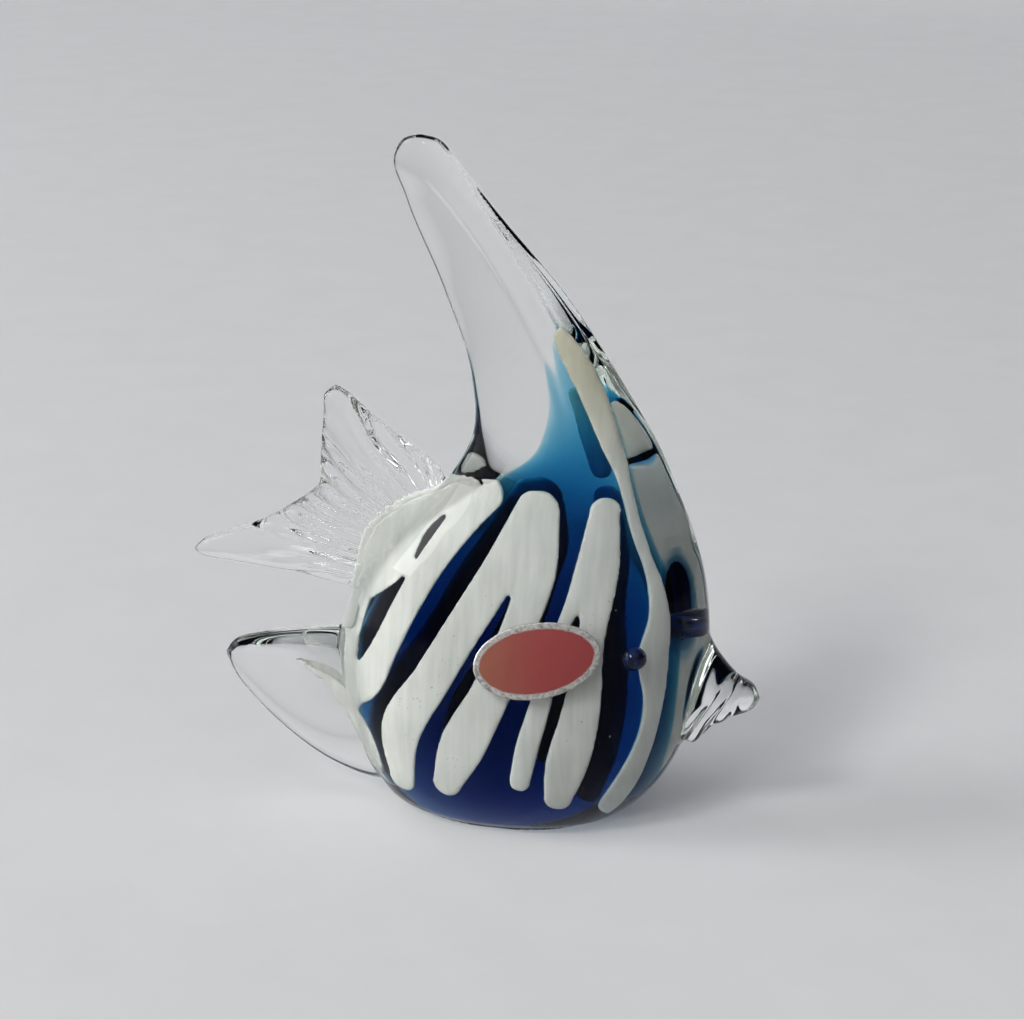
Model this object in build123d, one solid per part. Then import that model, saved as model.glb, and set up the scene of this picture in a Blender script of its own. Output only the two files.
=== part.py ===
from build123d import *
import math
import os

os.makedirs("parts", exist_ok=True)

# A hot-worked glass angelfish. X runs from the tail to the mouth, Y across the fish, Z up.
# The origin is the centre of the ground flat that the fish stands on.

# Overall sizes in millimetres
FISH_HEIGHT = 121.0
BODY_LENGTH = 66.0
BODY_THICKNESS = 35.0

# Anal fin, pulled out of the clear body towards the tail
ANAL_FIN_REACH = 53.0
ANAL_FIN_DEPTH = 29.0
ANAL_FIN_THICKNESS = 20.0

# Tail fin, a separate bit of two lobes with pressed ribs
TAIL_REACH = 58.5
TAIL_TOP = 76.5
TAIL_THICKNESS = 9.0
TAIL_RIB_DEPTH = 0.35

# Mouth, a separate crimped bit
MOUTH_REACH = 44.5
MOUTH_HEIGHT = 16.0
MOUTH_THICKNESS = 11.0
MOUTH_CRIMP_DEPTH = 0.9

# Cobalt core, and the opal trails laid on it
CORE_LENGTH = 52.5
CORE_HEIGHT = 91.0
CORE_THICKNESS = 29.0
TRAIL_THICKNESS = 1.2

# Eyes and label
EYE_RADIUS = 2.1
EYE_SINK = 1.5
LABEL_LENGTH = 22.0
LABEL_HEIGHT = 13.0
LABEL_THICKNESS = 0.2
LABEL_TILT_DEGREES = 9.0

# Counts
SECTION_POINTS = 12
TAIL_RIBS = 5
RIB_POINTS = 6
MOUTH_CRIMPS = 5
CRIMP_POINTS = 6

# Level sections of the clear body: height, rear edge, front edge, half thickness, and the exponent of
# the section's oval, where 2 is an ellipse and less gives each flank a ridge
BODY_SECTION_SHARES = [
    (0.000, -0.230, 0.205, 0.45, 2.0),
    (0.020, -0.320, 0.305, 0.65, 2.0),
    (0.065, -0.380, 0.395, 0.84, 2.0),
    (0.150, -0.440, 0.480, 0.97, 2.0),
    (0.265, -0.465, 0.532, 0.99, 2.0),
    (0.369, -0.390, 0.526, 0.90, 2.0),
    (0.443, -0.280, 0.495, 0.78, 1.95),
    (0.508, -0.165, 0.450, 0.63, 1.85),
    (0.574, -0.100, 0.398, 0.50, 1.7),
    (0.656, -0.102, 0.308, 0.41, 1.6),
    (0.780, -0.174, 0.153, 0.33, 1.55),
    (0.910, -0.275, -0.055, 0.25, 1.55),
    (0.968, -0.305, -0.140, 0.19, 1.8),
    (0.990, -0.285, -0.175, 0.125, 2.0),
]
BODY_TIP_SHARE = -0.235

# Level sections of the core: height, rear edge, front edge, half thickness
CORE_SECTION_SHARES = [
    (0.040, -0.230, 0.230, 0.38),
    (0.088, -0.352, 0.371, 0.72),
    (0.198, -0.447, 0.486, 0.97),
    (0.330, -0.467, 0.533, 1.00),
    (0.462, -0.410, 0.543, 0.90),
    (0.571, -0.276, 0.514, 0.72),
    (0.680, -0.090, 0.457, 0.49),
    (0.800, 0.060, 0.350, 0.26),
    (0.923, 0.086, 0.229, 0.15),
]
CORE_TIP_SHARE = 0.105

# Sections of the anal fin across its reach: reach, middle height, half depth, half thickness
ANAL_FIN_SHARES = [
    (0.45, 0.150, 0.50, 1.00),
    (0.60, 0.156, 0.46, 0.86),
    (0.76, 0.170, 0.35, 0.62),
    (0.88, 0.187, 0.23, 0.44),
    (0.96, 0.201, 0.12, 0.27),
]
ANAL_FIN_TIP_SHARE = 0.208

# Sections of the tail's rear lobe across its reach: reach, middle height, half height, half thickness
REAR_LOBE_SHARES = [
    (0.36, 0.660, 0.150, 0.90),
    (0.52, 0.660, 0.138, 0.80),
    (0.66, 0.630, 0.088, 0.62),
    (0.78, 0.606, 0.056, 0.52),
    (0.90, 0.592, 0.035, 0.42),
    (0.97, 0.582, 0.018, 0.25),
]
REAR_LOBE_TIP_SHARE = 0.576

# Level sections of the tail's upper lobe: height, middle, half length, half thickness
UPPER_LOBE_SHARES = [
    (0.62, -0.470, 0.115, 0.80),
    (0.74, -0.400, 0.190, 0.80),
    (0.81, -0.395, 0.190, 0.66),
    (0.87, -0.440, 0.140, 0.58),
    (0.93, -0.492, 0.080, 0.48),
    (0.98, -0.528, 0.037, 0.30),
]
UPPER_LOBE_TIP_SHARE = -0.533

# Sections of the mouth: reach, middle height, half height, half thickness, turn of its crimps
MOUTH_SHARES = [
    (0.62, 1.70, 0.66, 0.52, 0.00),
    (0.76, 1.74, 0.66, 0.46, 0.10),
    (0.83, 1.70, 0.41, 0.35, 0.22),
    (0.90, 1.64, 0.25, 0.27, 0.36),
    (0.97, 1.63, 0.14, 0.19, 0.46),
]
MOUTH_TIP_SHARE = 1.62

# Centre lines of the opal trails over the flank: along the body, up the fish, half width
REAR_TRAIL_SHARES = [
    (-0.02, 0.472, 0.030),
    (-0.10, 0.430, 0.050),
    (-0.18, 0.375, 0.062),
    (-0.26, 0.300, 0.060),
    (-0.33, 0.215, 0.055),
    (-0.37, 0.150, 0.040),
]
FORK_REAR_LEG_SHARES = [
    (0.085, 0.475, 0.044),
    (0.020, 0.400, 0.042),
    (-0.065, 0.322, 0.040),
    (-0.160, 0.236, 0.043),
    (-0.245, 0.145, 0.050),
    (-0.250, 0.075, 0.034),
]
FORK_FRONT_LEG_SHARES = [
    (0.105, 0.475, 0.044),
    (0.105, 0.400, 0.044),
    (0.070, 0.325, 0.042),
    (0.000, 0.220, 0.052),
    (-0.075, 0.135, 0.056),
    (-0.115, 0.080, 0.038),
]
MIDDLE_REAR_LEG_SHARES = [
    (0.280, 0.470, 0.040),
    (0.245, 0.395, 0.034),
    (0.195, 0.325, 0.024),
    (0.140, 0.215, 0.028),
    (0.105, 0.140, 0.030),
    (0.085, 0.090, 0.026),
]
MIDDLE_FRONT_LEG_SHARES = [
    (0.288, 0.475, 0.044),
    (0.292, 0.400, 0.050),
    (0.275, 0.310, 0.046),
    (0.240, 0.200, 0.048),
    (0.200, 0.115, 0.046),
    (0.175, 0.072, 0.032),
]
FRONT_TRAIL_SHARES = [
    (0.130, 0.725, 0.022),
    (0.225, 0.650, 0.030),
    (0.310, 0.560, 0.036),
    (0.370, 0.470, 0.030),
    (0.412, 0.385, 0.026),
    (0.425, 0.300, 0.030),
    (0.415, 0.215, 0.034),
    (0.370, 0.135, 0.040),
    (0.290, 0.085, 0.036),
]

# Places on the flank: along the body, up the fish
EYE_PLACE_SHARES = (0.372, 0.291)
LABEL_PLACE_SHARES = (0.112, 0.294)

# How far the trails of the far flank stand off from those of the near one, along the body
FAR_TRAIL_SHIFT = 1.5


def oval_points(half_length, half_width, exponent, count, lobes=0, lobe_depth=0.0, turn=0.0):
    """Points round a superellipse, whose radius waves by lobe_depth in as many lobes."""
    points = []
    for step in range(count):
        angle = math.tau * step / count
        along = math.copysign(abs(math.cos(angle)) ** (2 / exponent), math.cos(angle))
        across = math.copysign(abs(math.sin(angle)) ** (2 / exponent), math.sin(angle))
        wave = lobe_depth * math.cos(lobes * angle + math.tau * turn)
        points.append(
            (
                half_length * along + wave * math.cos(angle),
                half_width * across + wave * math.sin(angle),
            )
        )
    return points


def closed_wire(points):
    return Wire([Edge.make_spline(points, periodic=True)])


def level_section(height, rear, front, half_width, exponent=2.0):
    """A closed section at one height, from the rear edge to the front edge."""
    middle = (rear + front) / 2
    ring = oval_points((front - rear) / 2, half_width, exponent, SECTION_POINTS)
    return closed_wire([Vector(middle + along, across, height) for along, across in ring])


def upright_section(reach, middle, half_height, half_width, count, lobes=0, lobe_depth=0.0, turn=0.0):
    """A closed section square to X, from below its middle to above it."""
    ring = oval_points(half_height, half_width, 2.0, count, lobes, lobe_depth, turn)
    return closed_wire([Vector(reach, across, middle + up) for up, across in ring])


def body_form(grow=0.0):
    """The clear body and its dorsal fin as one form, grown all round by grow."""
    sections = []
    for height, rear, front, half_width, exponent in BODY_SECTION_SHARES:
        sections.append(
            level_section(
                height * FISH_HEIGHT,
                rear * BODY_LENGTH - grow,
                front * BODY_LENGTH + grow,
                half_width * BODY_THICKNESS / 2 + grow,
                exponent,
            )
        )
    tip = Vertex(BODY_TIP_SHARE * BODY_LENGTH, 0, FISH_HEIGHT + grow)
    return Solid.make_loft(sections + [tip])


def core_form(grow=0.0):
    """The cobalt core, grown all round by grow."""
    sections = []
    for height, rear, front, half_width in CORE_SECTION_SHARES:
        sections.append(
            level_section(
                height * CORE_HEIGHT,
                rear * CORE_LENGTH - grow,
                front * CORE_LENGTH + grow,
                half_width * CORE_THICKNESS / 2 + grow,
            )
        )
    tip = Vertex(CORE_TIP_SHARE * CORE_LENGTH, 0, CORE_HEIGHT + grow)
    return Solid.make_loft(sections + [tip])


def anal_fin_form():
    sections = []
    for reach, middle, half_height, half_width in ANAL_FIN_SHARES:
        sections.append(
            upright_section(
                -reach * ANAL_FIN_REACH,
                middle * FISH_HEIGHT,
                half_height * ANAL_FIN_DEPTH,
                half_width * ANAL_FIN_THICKNESS / 2,
                SECTION_POINTS,
            )
        )
    tip = Vertex(-ANAL_FIN_REACH, 0, ANAL_FIN_TIP_SHARE * FISH_HEIGHT)
    return Solid.make_loft(sections + [tip])


def ribbed_ring(half_length, half_width):
    """A flat oval whose two faces wave by the ribs' depth."""
    count = TAIL_RIBS * RIB_POINTS
    points = []
    for step in range(count):
        angle = math.tau * step / count
        rib = TAIL_RIB_DEPTH * math.cos(TAIL_RIBS * math.pi * math.cos(angle)) * math.sin(angle)
        points.append((half_length * math.cos(angle), half_width * math.sin(angle) + rib))
    return points


def tail_form():
    rear_lobe = []
    for reach, middle, half_height, half_width in REAR_LOBE_SHARES:
        ring = ribbed_ring(half_height * TAIL_TOP, half_width * TAIL_THICKNESS / 2)
        rear_lobe.append(
            closed_wire([Vector(-reach * TAIL_REACH, across, middle * TAIL_TOP + up) for up, across in ring])
        )
    rear_tip = Vertex(-TAIL_REACH, 0, REAR_LOBE_TIP_SHARE * TAIL_TOP)
    upper_lobe = []
    for height, middle, half_length, half_width in UPPER_LOBE_SHARES:
        ring = ribbed_ring(half_length * TAIL_REACH, half_width * TAIL_THICKNESS / 2)
        upper_lobe.append(
            closed_wire([Vector(middle * TAIL_REACH + along, across, height * TAIL_TOP) for along, across in ring])
        )
    upper_tip = Vertex(UPPER_LOBE_TIP_SHARE * TAIL_REACH, 0, TAIL_TOP)
    return Solid.make_loft(rear_lobe + [rear_tip]) + Solid.make_loft(upper_lobe + [upper_tip])


def mouth_form():
    sections = []
    for reach, middle, half_height, half_width, turn in MOUTH_SHARES:
        sections.append(
            upright_section(
                reach * MOUTH_REACH,
                middle * MOUTH_HEIGHT,
                half_height * MOUTH_HEIGHT,
                half_width * MOUTH_THICKNESS,
                MOUTH_CRIMPS * CRIMP_POINTS,
                MOUTH_CRIMPS,
                MOUTH_CRIMP_DEPTH * half_height,
                turn,
            )
        )
    tip = Vertex(MOUTH_REACH, 0, MOUTH_TIP_SHARE * MOUTH_HEIGHT)
    return Solid.make_loft(sections + [tip])


def ribbon_face(centre_line, shift):
    """A closed outline in the fish's middle plane, round a centre line of changing width."""
    spots = [(x * BODY_LENGTH + shift, z * FISH_HEIGHT, w * BODY_LENGTH) for x, z, w in centre_line]
    left, right = [], []
    for index, (x, z, width) in enumerate(spots):
        before = spots[max(index - 1, 0)]
        after = spots[min(index + 1, len(spots) - 1)]
        run = Vector(after[0] - before[0], 0, after[1] - before[1]).normalized()
        side = Vector(run.Z, 0, -run.X)
        left.append(Vector(x, 0, z) + side * width)
        right.append(Vector(x, 0, z) - side * width)
        if index == 0:
            start = Vector(x, 0, z) - run * width
        end = Vector(x, 0, z) + run * width
    return Face(closed_wire([start] + left + [end] + right[::-1]))


def flank_trail(centre_lines, side, shift=0.0):
    """Opal laid on one flank of the core, side -1 for the near flank and 1 for the far one."""
    stamp = None
    for centre_line in centre_lines:
        leg = extrude(ribbon_face(centre_line, shift), BODY_THICKNESS, dir=(0, side, 0))
        stamp = leg if stamp is None else stamp + leg
    return (stamp & core_form(TRAIL_THICKNESS)) - core_form()


def wrapped_trail(centre_line):
    """Opal laid round the front edge of the core, over both flanks."""
    stamp = extrude(ribbon_face(centre_line, 0.0), BODY_THICKNESS, dir=(0, 1, 0), both=True)
    return (stamp & core_form(TRAIL_THICKNESS)) - core_form()


def flank_depth(x, z):
    """Half the clear body's thickness at a place on its flank."""
    rows = BODY_SECTION_SHARES
    share = z / FISH_HEIGHT
    above = next(index for index, row in enumerate(rows) if row[0] >= share)
    low, high = rows[above - 1], rows[above]
    mix = (share - low[0]) / (high[0] - low[0])
    rear, front, half_width, exponent = (a + (b - a) * mix for a, b in zip(low[1:], high[1:]))
    along = (x / BODY_LENGTH - (rear + front) / 2) / ((front - rear) / 2)
    return half_width * BODY_THICKNESS / 2 * (1 - abs(along) ** exponent) ** (1 / exponent)


def eye_form(side):
    x = EYE_PLACE_SHARES[0] * BODY_LENGTH
    z = EYE_PLACE_SHARES[1] * FISH_HEIGHT
    return Pos(x, side * (flank_depth(x, z) - EYE_SINK), z) * Sphere(EYE_RADIUS)


def label_form(body):
    x = LABEL_PLACE_SHARES[0] * BODY_LENGTH
    z = LABEL_PLACE_SHARES[1] * FISH_HEIGHT
    oval = extrude(Ellipse(LABEL_LENGTH / 2, LABEL_HEIGHT / 2), BODY_THICKNESS)
    stamp = Pos(x, 0, z) * Rot(0, -LABEL_TILT_DEGREES, 0) * Rot(90, 0, 0) * oval
    return (stamp & body_form(LABEL_THICKNESS)) - body


def write(name, form):
    """One node's solids, in a file of its name."""
    export_step(Compound(children=form.solids()), f"parts/{name}.step")


body = body_form()
eyes = {"near_eye": eye_form(-1), "far_eye": eye_form(1)}
trails = {
    "near_rear_trail": flank_trail([REAR_TRAIL_SHARES], -1),
    "near_fork_trail": flank_trail([FORK_REAR_LEG_SHARES, FORK_FRONT_LEG_SHARES], -1),
    "near_middle_trail": flank_trail([MIDDLE_REAR_LEG_SHARES, MIDDLE_FRONT_LEG_SHARES], -1),
    "front_trail": wrapped_trail(FRONT_TRAIL_SHARES),
    "far_rear_trail": flank_trail([REAR_TRAIL_SHARES], 1, -FAR_TRAIL_SHIFT),
    "far_fork_trail": flank_trail([FORK_REAR_LEG_SHARES, FORK_FRONT_LEG_SHARES], 1, -FAR_TRAIL_SHIFT),
    "far_middle_trail": flank_trail([MIDDLE_REAR_LEG_SHARES, MIDDLE_FRONT_LEG_SHARES], 1, -FAR_TRAIL_SHIFT),
}
core = core_form()
casing = body + anal_fin_form()
label = label_form(casing)
tail = tail_form() - casing
mouth = mouth_form() - casing
for inner in [core, *trails.values(), *eyes.values()]:
    casing = casing - inner

write("clear_casing", casing)
write("cobalt_core", core)
write("tail_fin", tail)
write("mouth", mouth)
write("foil_label", label)
for name, form in [*trails.items(), *eyes.items()]:
    write(name, form)
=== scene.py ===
import math

import bmesh
import bpy
import numpy as np
from mathutils import Matrix, Vector, noise
from mathutils.bvhtree import BVHTree
from mathutils.interpolate import poly_3d_calc


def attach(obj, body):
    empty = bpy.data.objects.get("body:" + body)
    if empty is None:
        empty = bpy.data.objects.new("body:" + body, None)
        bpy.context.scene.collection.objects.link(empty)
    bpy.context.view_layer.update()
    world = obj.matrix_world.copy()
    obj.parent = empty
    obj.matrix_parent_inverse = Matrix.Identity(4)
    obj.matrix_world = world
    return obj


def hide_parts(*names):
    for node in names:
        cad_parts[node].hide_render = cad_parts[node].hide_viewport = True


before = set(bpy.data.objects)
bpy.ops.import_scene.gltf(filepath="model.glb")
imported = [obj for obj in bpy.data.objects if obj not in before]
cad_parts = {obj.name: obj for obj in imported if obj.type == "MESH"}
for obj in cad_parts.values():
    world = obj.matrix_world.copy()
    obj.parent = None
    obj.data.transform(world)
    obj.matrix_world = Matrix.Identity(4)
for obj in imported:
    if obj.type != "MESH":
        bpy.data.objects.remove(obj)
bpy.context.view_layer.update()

scene = bpy.context.scene

# Driving sizes in metres. X runs from the tail to the mouth, Y across the fish, Z up.
MM = 0.001
FISH_HEIGHT = 121.0 * MM
BODY_LENGTH = 66.0 * MM
BODY_THICKNESS = 34.8 * MM
ANAL_FIN_REACH = 53.0 * MM
ANAL_FIN_DEPTH = 29.0 * MM
ANAL_FIN_THICKNESS = 20.0 * MM
TAIL_REACH = 58.5 * MM
TAIL_TOP = 76.5 * MM
TAIL_THICKNESS = 9.0 * MM
MOUTH_REACH = 44.5 * MM
MOUTH_HEIGHT = 16.0 * MM
MOUTH_THICKNESS = 11.0 * MM
CORE_LENGTH = 52.5 * MM
CORE_HEIGHT = 91.0 * MM
CORE_THICKNESS = 29.0 * MM
TRAIL_THICKNESS = 1.3 * MM
TRAIL_LIFT = 0.2 * MM
TRAIL_FULL_WIDTH = 1.0 * MM
FAR_TRAIL_SHIFT = -1.5 * MM
LABEL_LENGTH = 22.0 * MM
LABEL_HEIGHT = 13.0 * MM
LABEL_THICKNESS = 0.16 * MM
LABEL_TILT = math.radians(13.0)
LABEL_CRINKLE = 0.05 * MM
LABEL_CRINKLE_FINENESS = 420.0
LABEL_RAGGEDNESS = 0.012
LABEL_RAG_FINENESS = 9.0
LABEL_SEAT = 0.02 * MM
EYE_RADIUS = 2.1 * MM
EYE_SINK = 1.2 * MM
EYE_LUMPS = 0.04
EYE_LUMP_FINENESS = 1.6
GROUND_FLAT = 0.35 * MM

# Fineness of the meshes, and the distances from a second form within which fused glass counts as the join
# and then comes back to its own form
GLASS_VOXEL = 0.4 * MM
GLASS_SMOOTHING = 10
JOIN_WIDTH = 0.3 * MM
JOIN_ROUNDING = 2.5 * MM
TRAIL_VOXEL = 0.35 * MM
TRAIL_SMOOTHING = 6
RING_POINTS = 200
ROWS = 240
RIBBON_POINTS = 32
RIBBON_ROWS = 90
RIBBON_END_ROWS = 12
LABEL_RINGS = 30
LABEL_SPOKES = 220
EYE_SEGMENTS = 64
EYE_RINGS = 48
SAME_PLACE = 0.0001 * MM
LEAST_NORMAL = 0.5

# Oval sections: a round one's exponent, an even one's ridge, and the share of the way out to the rim that
# still counts as flank
ROUND = 2.0
MIDDLE = 0.5
NEAR_RIM = 0.999

# Level sections of the clear body: height, rear edge, front edge, half thickness, exponent of the oval,
# place of the flank's ridge between the rear and front edges
BODY_SECTION_SHARES = [
    (0.000, -0.230, 0.205, 0.45, 2.0, 0.50),
    (0.020, -0.320, 0.305, 0.67, 2.0, 0.50),
    (0.065, -0.380, 0.395, 0.87, 2.0, 0.50),
    (0.150, -0.440, 0.480, 1.00, 2.0, 0.50),
    (0.265, -0.465, 0.532, 0.94, 2.0, 0.50),
    (0.369, -0.390, 0.526, 0.80, 2.0, 0.50),
    (0.443, -0.280, 0.495, 0.63, 1.8, 0.50),
    (0.508, -0.165, 0.450, 0.48, 1.65, 0.53),
    (0.574, -0.100, 0.398, 0.385, 1.5, 0.55),
    (0.656, -0.102, 0.308, 0.300, 1.45, 0.60),
    (0.780, -0.174, 0.153, 0.225, 1.4, 0.64),
    (0.910, -0.275, -0.055, 0.170, 1.45, 0.70),
    (0.968, -0.305, -0.140, 0.135, 1.6, 0.70),
    (0.990, -0.285, -0.175, 0.095, 1.6, 0.60),
    (1.000, -0.235, -0.235, 0.000, 2.0, 0.50),
]

# Level sections of the cobalt core: height, rear edge, front edge, half thickness
CORE_SECTION_SHARES = [
    (0.030, -0.240, 0.250, 0.52),
    (0.055, -0.330, 0.335, 0.72),
    (0.088, -0.375, 0.390, 0.86),
    (0.198, -0.450, 0.480, 0.98),
    (0.330, -0.467, 0.530, 0.93),
    (0.462, -0.410, 0.536, 0.76),
    (0.571, -0.276, 0.472, 0.54),
    (0.626, -0.152, 0.440, 0.43),
    (0.680, -0.010, 0.415, 0.33),
    (0.740, 0.105, 0.390, 0.23),
    (0.800, 0.138, 0.358, 0.15),
    (0.923, 0.138, 0.265, 0.08),
    (1.000, 0.150, 0.150, 0.00),
]

# Sections of the anal fin across its reach: reach, middle height, half depth, half thickness
ANAL_FIN_SHARES = [
    (0.30, 0.150, 0.44, 0.90),
    (0.45, 0.150, 0.50, 0.78),
    (0.60, 0.156, 0.46, 0.58),
    (0.76, 0.170, 0.35, 0.40),
    (0.88, 0.187, 0.23, 0.29),
    (0.96, 0.201, 0.12, 0.19),
    (1.00, 0.208, 0.00, 0.00),
]
ANAL_FIN_EXPONENT = 1.3

# Sections of the tail's rear lobe across its reach: reach, middle height, half height, half thickness
REAR_LOBE_SHARES = [
    (0.36, 0.660, 0.150, 0.90),
    (0.52, 0.660, 0.138, 0.80),
    (0.66, 0.630, 0.088, 0.62),
    (0.78, 0.606, 0.056, 0.52),
    (0.90, 0.592, 0.035, 0.42),
    (0.97, 0.582, 0.018, 0.25),
    (1.00, 0.576, 0.000, 0.00),
]

# Level sections of the tail's upper lobe: height, middle, half length, half thickness
UPPER_LOBE_SHARES = [
    (0.62, -0.470, 0.115, 0.80),
    (0.74, -0.400, 0.190, 0.80),
    (0.81, -0.395, 0.190, 0.66),
    (0.87, -0.440, 0.140, 0.58),
    (0.93, -0.492, 0.080, 0.48),
    (0.98, -0.528, 0.037, 0.30),
    (1.00, -0.533, 0.000, 0.00),
]

# Sections of the mouth across its reach: reach, middle height, half height, half thickness
MOUTH_SHARES = [
    (0.62, 1.70, 0.66, 0.52),
    (0.76, 1.74, 0.66, 0.46),
    (0.83, 1.70, 0.41, 0.35),
    (0.90, 1.64, 0.25, 0.27),
    (0.97, 1.63, 0.14, 0.19),
    (1.00, 1.62, 0.00, 0.00),
]

# The mouth's crimps, pressed aslant into its lower half. They start, end and fade at lengths from its
# root, stay below an edge that rises with that length, and come at so many to a metre along and up.
CRIMP_DEPTH = 0.6 * MM
CRIMP_ROOT = 32.5 * MM
CRIMP_START = -2.5 * MM
CRIMP_END = 8.5 * MM
CRIMP_FADE = 2.0 * MM
CRIMP_EDGE_HEIGHT = 23.2 * MM
CRIMP_EDGE_SLOPE = 0.72
CRIMP_EDGE_FADE = 1.6 * MM
CRIMPS_ALONG = 0.416 / MM
CRIMPS_UP = -0.245 / MM
CRIMP_MEAN_WAVE = 0.55

# The tail's pressed ribs, which fan out from a centre in its root. Angles are in degrees up from level,
# and a fade goes from nothing at its first place to all at its second.
RIB_DEPTH = 0.8 * MM
RIB_CENTRE_X = -6.0 * MM
RIB_CENTRE_Z = 43.0 * MM
RIB_SPACING = 5.6
RIB_REACH_FADE = (46.0 * MM, 30.0 * MM)
RIB_ANGLE_FADE = (66.0, 36.0)
RIB_LEAST_FADE = 0.25
RIB_WOBBLE = 2.2
RIB_WOBBLE_FINENESS = 0.09 / MM
RIB_MEAN_STRENGTH = 0.55
RIB_LEAST_STRENGTH = 0.1
RIB_UNEVENNESS = 0.9
RIB_UNEVEN_BY_ANGLE = 0.16
RIB_UNEVEN_BY_REACH = 0.05 / MM
RIB_UNEVEN_PLACE = 4.0
RIB_RIM_FACING = 0.9
RIB_RIM_FADE = 4

# The dorsal fin's fine ridge: its depth and width, the share of a level step that leads straight away
# from it, its fades up the fish, and its places along the fish and up it
FIN_RIDGE_DEPTH = 0.55 * MM
FIN_RIDGE_LEAST = FIN_RIDGE_DEPTH / 50
FIN_RIDGE_WIDTH = 0.5 * MM
FIN_RIDGE_SLANT = 0.78
FIN_RIDGE_FAR_SHARE = 0.3
FIN_RIDGE_LOWER_FADE = (66.0 * MM, 76.0 * MM)
FIN_RIDGE_UPPER_FADE = (116.0 * MM, 110.0 * MM)
FIN_RIDGE_PLACES = MM * np.array([
    (12.3, 66.0),
    (12.1, 70.8),
    (11.1, 75.4),
    (8.1, 84.2),
    (2.3, 94.3),
    (-3.2, 102.5),
    (-8.4, 109.0),
    (-13.2, 114.2),
])

# Centre lines of the opal trails over the flank: along the body, up the fish, half width
REAR_FLANK_LEG_SHARES = [
    (-0.022, 0.490, 0.028),
    (-0.092, 0.455, 0.038),
    (-0.172, 0.395, 0.038),
    (-0.237, 0.330, 0.036),
    (-0.290, 0.268, 0.036),
    (-0.345, 0.205, 0.040),
    (-0.395, 0.168, 0.030),
]
REAR_EDGE_LEG_SHARES = [
    (-0.022, 0.494, 0.026),
    (-0.125, 0.487, 0.030),
    (-0.235, 0.452, 0.036),
    (-0.312, 0.395, 0.034),
    (-0.368, 0.320, 0.026),
    (-0.395, 0.250, 0.024),
    (-0.405, 0.185, 0.026),
]
REAR_ROOT_LEG_SHARES = [
    (-0.570, 0.205, 0.005),
    (-0.505, 0.190, 0.014),
    (-0.440, 0.165, 0.026),
    (-0.385, 0.138, 0.036),
    (-0.347, 0.106, 0.032),
    (-0.322, 0.076, 0.022),
]
REAR_TAIL_LEG_SHARES = [
    (-0.140, 0.480, 0.030),
    (-0.245, 0.445, 0.058),
    (-0.315, 0.390, 0.078),
    (-0.370, 0.335, 0.045),
]
FORK_REAR_LEG_SHARES = [
    (0.090, 0.482, 0.048),
    (0.020, 0.402, 0.050),
    (-0.065, 0.322, 0.050),
    (-0.155, 0.236, 0.052),
    (-0.244, 0.147, 0.056),
    (-0.246, 0.072, 0.036),
]
FORK_FRONT_LEG_SHARES = [
    (0.110, 0.482, 0.050),
    (0.112, 0.400, 0.050),
    (0.075, 0.325, 0.046),
    (0.000, 0.220, 0.054),
    (-0.075, 0.138, 0.060),
    (-0.115, 0.085, 0.040),
]
MIDDLE_REAR_LEG_SHARES = [
    (0.270, 0.484, 0.038),
    (0.238, 0.405, 0.034),
    (0.205, 0.355, 0.021),
    (0.180, 0.320, 0.018),
    (0.135, 0.215, 0.028),
    (0.100, 0.145, 0.030),
    (0.082, 0.100, 0.027),
]
MIDDLE_FRONT_LEG_SHARES = [
    (0.268, 0.484, 0.038),
    (0.272, 0.400, 0.042),
    (0.256, 0.310, 0.034),
    (0.233, 0.200, 0.048),
    (0.195, 0.120, 0.050),
    (0.172, 0.074, 0.034),
]
FRONT_NEAR_LEG_SHARES = [
    (0.150, 0.722, 0.036),
    (0.224, 0.657, 0.044),
    (0.284, 0.583, 0.038),
    (0.312, 0.541, 0.027),
    (0.357, 0.458, 0.026),
    (0.403, 0.385, 0.026),
    (0.414, 0.342, 0.028),
    (0.400, 0.285, 0.035),
    (0.402, 0.217, 0.028),
    (0.392, 0.178, 0.028),
    (0.340, 0.100, 0.034),
    (0.290, 0.055, 0.034),
]
FRONT_FAR_LEG_SHARES = [
    (0.170, 0.640, 0.022),
    (0.208, 0.585, 0.032),
    (0.230, 0.530, 0.028),
]
REAR_TRAIL_LEGS = [
    REAR_FLANK_LEG_SHARES,
    REAR_EDGE_LEG_SHARES,
    REAR_ROOT_LEG_SHARES,
    REAR_TAIL_LEG_SHARES,
]
FORK_TRAIL_LEGS = [FORK_REAR_LEG_SHARES, FORK_FRONT_LEG_SHARES]
MIDDLE_TRAIL_LEGS = [MIDDLE_REAR_LEG_SHARES, MIDDLE_FRONT_LEG_SHARES]

# Opal drawn out into the roots of the anal fin and the tail: place along the body and up the fish,
# reach along and up, depth
OPAL_ROOT_SHARES = [
    (-0.36, 0.150, 0.27, 0.115, 0.10),
    (-0.24, 0.415, 0.22, 0.150, 0.06),
]

# How far out to the core's front edge the opal may lie, the limits to how its outside may face, and how
# boxy its edges are
CORE_RIM_SHARE = 0.985
OPAL_REARWARD_LIMIT = -0.6
OPAL_SIDEWAYS_LIMIT = 0.15
OPAL_EDGE_ROUNDING = 0.6

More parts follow.
